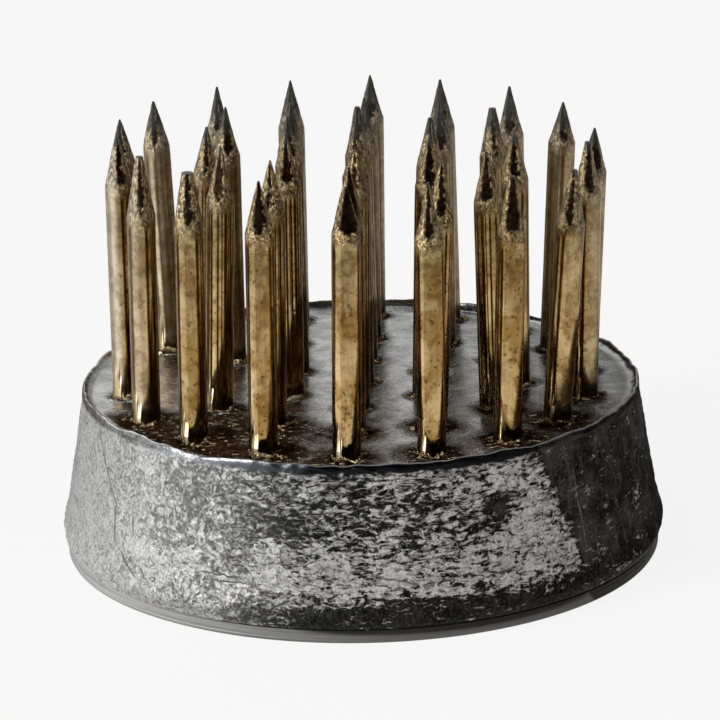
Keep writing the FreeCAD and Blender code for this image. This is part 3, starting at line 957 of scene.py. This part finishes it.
# The last stroke on some of the front points: its turn in degrees, and how deep it was cut.
LAST_STROKES = {
    "pin_outer_1": (-80, 0.20), "pin_outer_2": (-90, 0.07), "pin_outer_18": (-88, 0.12),
    "pin_outer_3": (-84, 0.14), "pin_outer_17": (-86, 0.06), "pin_middle_1": (-70, 0.10),
}
old_brass = make_brass()
pin_tree = make_pin_tree()
for name, pin in PINS.items():
    blank = show(f"{name}_wire", bpy.data.meshes.new("blank"))
    grow = blank.modifiers.new("grow", "NODES")
    grow.node_group = pin_tree
    foot = pin["foot"]
    seed = dice.uniform(0.0, 90.0)
    stroke = (dice.uniform(-100, -76), dice.uniform(0.03, 0.11))
    stroke = LAST_STROKES.get(name, stroke)
    # The film, painted pale as sheen, is thickest on the outer pins at the left, and thin all over the pins
    # at the back.
    sideways = abs(foot.x) / max(1.0, foot.length)
    film_sheen = (1.0 if foot.x < 0 else 0.4) * (1.0 if "outer" in name else 0.3)
    # Soot reaches further down the points at the back, and lead crept up more on the left.
    rearward = share(0.4 + foot.y / 14.0)
    rightward = share((foot.x + 3.0) / 12.0)
    values = {
        "Wire Radius": pin["wire"] * MM,
        "Length": (pin["tip"] - foot).length * MM,
        "Point Length": (pin["tip"] - pin["shoulder"]).length * MM,
        "Tip Radius": pin["flat"] * MM,
        "Grind Depth": 0.07 * MM,
        "Dent Depth": 0.02 * MM,
        "Facet Turn": math.radians(stroke[0]),
        "Facet Cut": stroke[1],
        "Hollow": dice.uniform(-0.05, 0.10),
        "Outward": math.atan2(foot.y, foot.x),
        "Outer Haze": film_sheen * sideways ** 8,
        "Haze": 0.5 * share(foot.y / 10.0),
        "Soot Reach": (0.06 + 2.1 * rearward + 0.5 * dice.uniform(0, 0.3)) * MM,
        "Wetting": dice.uniform(0.05, 0.16) * (1.0 - 0.75 * rightward),
        "Wetted Side": math.radians(-129 + foot.x * 0.6 + dice.uniform(-5, 5)),
        "Buried": (pin["collar"] - foot).length * MM,
        "Seed": seed,
        "Finish": old_brass,
    }
    for item in pin_tree.interface.items_tree:
        if item.in_out == "INPUT":
            grow[item.identifier] = values[item.name]
    graph = bpy.context.evaluated_depsgraph_get()
    grown = bpy.data.meshes.new_from_object(blank.evaluated_get(graph), depsgraph=graph)
    bpy.data.objects.remove(blank)
    lean = Vector((0, 0, 1)).rotation_difference(pin["axis"]).to_matrix().to_4x4()
    grown.transform(Matrix.Translation(foot * MM) @ lean)
    grown.name = f"{name}_wire"
    wire = show(f"{name}_wire", grown)
    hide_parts(name)
    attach(wire, "root")

# ------------------------------
# Floor. A plain pale table top that runs on past the view. It takes the holder's soft shadow, and
# looks almost as bright as the studio behind it.
# ------------------------------
FLOOR_HALF = 3.0


def seen_directly(tree):
    """Whether a ray comes from the camera, a reflection or a refraction."""
    path = place_node(tree, "ShaderNodeLightPath").outputs
    seen = greater(Wire(path["Is Camera Ray"]), path["Is Glossy Ray"])
    return greater(seen, path["Is Transmission Ray"])


floor_mesh = bpy.data.meshes.new("floor")
corners = [(-1, -1), (1, -1), (1, 1), (-1, 1)]
floor_mesh.from_pydata([(x * FLOOR_HALF, y * FLOOR_HALF, 0.0) for x, y in corners], [], [(0, 1, 2, 3)])
floor = show("floor", floor_mesh)
pale = bpy.data.materials.new("pale_floor")
tree, both = start_look(pale, "ShaderNodeMixShader")
matt = feed(place_node(tree, "ShaderNodeBsdfDiffuse"), Color=(0.82, 0.82, 0.82, 1))
glow = feed(place_node(tree, "ShaderNodeEmission"), Color=(1, 1, 1, 1), Strength=1.0)
feed(both, in_0=seen_directly(tree) * 0.86, in_1=matt.outputs[0], in_2=glow.outputs[0])
floor_mesh.materials.append(pale)

# ------------------------------
# Studio. A broad soft window on the left, a small warm glow on the right and a dim room. Light and
# dark cards, which only reflections see, give the polished metal its edges.
# ------------------------------
world = bpy.data.worlds.new("studio")
bpy.context.scene.world = world
tree, background = start_look(world, "ShaderNodeBackground", "ShaderNodeOutputWorld")
feed(background, Color=(1, 1, 1, 1), Strength=ramp_of(seen_directly(tree), 0.0, 1.0, 0.36, 1.0))


def hang_light(name, spot, target, size, power, tint=(1, 1, 1)):
    """A soft rectangular light that faces the target."""
    lamp = bpy.data.lights.new(name, "AREA")
    lamp.shape = "RECTANGLE"
    lamp.size, lamp.size_y = size
    lamp.energy = power
    lamp.color = tint
    light = show(name, lamp)
    light.location = spot
    light.rotation_euler = (Vector(target) - Vector(spot)).to_track_quat("-Z", "Y").to_euler()


hang_light("window", (-0.41, -0.27, 0.19), (0, 0, 0.008), (0.30, 0.30), 2.35)
# The warm glow sparks on the torn points and the spatter.
hang_light("glow", (0.34, -0.13, 0.09), (0, 0, 0.015), (0.12, 0.08), 0.13, (1.0, 0.93, 0.82))


def stand_card(name, outline, shade, far_shade=None):
    """A flat card that only reflections see."""
    card_mesh = bpy.data.meshes.new(name)
    card_mesh.from_pydata(outline, [], [tuple(range(len(outline)))])
    card = show(name, card_mesh)
    paint = bpy.data.materials.new(name)
    tree, glow = start_look(paint, "ShaderNodeEmission")
    tone = (*shade, 1)
    if far_shade:
        # The card falls off from one tone near the holder to another further away.
        away = length_of(Wire(place_node(tree, "ShaderNodeTexCoord").outputs["Object"]))
        tone = blend_of(ramp_of(away, 0.045, 0.085), shade, far_shade)
    feed(glow, Color=tone, Strength=1.0)
    card_mesh.materials.append(paint)
    for eye in ("camera", "diffuse", "shadow", "transmission"):
        setattr(card, f"visible_{eye}", False)


def fan(first, last, near, far, height):
    """The outline of a flat fan on the table; near and far each give a distance at both its ends."""
    inner, outer = [], []
    for part in np.linspace(0, 1, 25):
        turn = math.radians(first + (last - first) * part)
        inner.append(round_place(turn, near[0] + (near[1] - near[0]) * part, height))
        outer.append(round_place(turn, far[0] + (far[1] - far[0]) * part, height))
    return inner + outer[::-1]


DARK = (0.036, 0.018, 0.011)
COOL = (1.48, 1.54, 1.70)
FAR_COOL = (1.0, 1.04, 1.14)
BY_BASE = (0.0178, 0.0178)
FAR_OFF = (1.0, 1.0)
MAT = 0.3 * MM
TABLE = 0.6 * MM
# Cards on the table: first and last turn, near and far edge, height, and tones near and far.
TABLE_CARDS = {
    "mat_front": (-50, 90, BY_BASE, (0.034, 0.050), MAT, DARK, None),
    "mat_back": (90, 255, BY_BASE, (0.050, 0.040), MAT, DARK, None),
    "front_table": (-38, 98, (0.0353, 0.050), FAR_OFF, TABLE, (1.04, 1.04, 1.02), (0.57, 0.57, 0.57)),
    "side_table": (-82, -50, (0.019, 0.019), FAR_OFF, TABLE, COOL, FAR_COOL),
    "side_table_front": (-50, -38, (0.034, 0.0353), FAR_OFF, TABLE, COOL, FAR_COOL),
    "left_corner": (-105, -82, (0.024, 0.024), FAR_OFF, TABLE, (0.10, 0.09, 0.08), None),
    "rear_table": (98, 255, (0.050, 0.040), FAR_OFF, TABLE, (0.5, 0.49, 0.47), None),
}
# Upright cards in the room: where each starts and ends, its lower and upper edge, and its tone.
ROOM_CARDS = {
    "room_front": ((-0.31, -0.45), (0.32, -0.45), 0.03, 0.5, DARK),
    "room_left": ((-0.46, -0.66), (-0.79, 0.14), 0.14, 0.9, DARK),
    "room_corner": ((-0.74, 0.3), (-0.3, 0.74), 0.005, 0.3, (0.4, 0.4, 0.39)),
    "room_back": ((0.03, 0.8), (0.7, 0.8), 0.03, 0.8, (0.46, 0.46, 0.455)),
    "room_right": ((0.32, -0.45), (0.32, 0.35), 0.0, 0.5, DARK),
}
for name, (first, last, near, far, height, shade, far_shade) in TABLE_CARDS.items():
    stand_card(name, fan(first, last, near, far, height), shade, far_shade)
for name, (start, end, low, high, shade) in ROOM_CARDS.items():
    stand_card(name, [(*start, low), (*end, low), (*end, high), (*start, high)], shade)
ceiling = [(-0.5, -0.5, 0.5), (0.6, -0.5, 0.5), (0.6, 0.45, 0.5), (-0.5, 0.45, 0.5)]
stand_card("room_above", ceiling, (0.05, 0.05, 0.048))

# ------------------------------
# Camera. A long lens two hand's breadths away and a little above the points, so that it looks down
# on the bed between the front pins.
# ------------------------------
CAMERA_SPOT = Vector((0.0, -0.21289, 0.07691))
LOOK_DOWN = math.radians(17.25)
ROLL = math.radians(-1.18)
camera_data = bpy.data.cameras.new("camera")
camera_data.sensor_width = 36.0
camera_data.lens = 193.07
camera_data.clip_start = 0.01
camera_data.clip_end = 20.0
camera = show("camera", camera_data)
forward = Vector((0, math.cos(LOOK_DOWN), -math.sin(LOOK_DOWN)))
level = Vector((1, 0, 0))
above = level.cross(forward)
right = level * math.cos(ROLL) + above * math.sin(ROLL)
upward = above * math.cos(ROLL) - level * math.sin(ROLL)
turn_matrix = Matrix((right, upward, -forward)).transposed()
camera.matrix_world = Matrix.Translation(CAMERA_SPOT) @ turn_matrix.to_4x4()
bpy.context.scene.camera = camera
bpy.context.scene.view_settings.view_transform = "Standard"
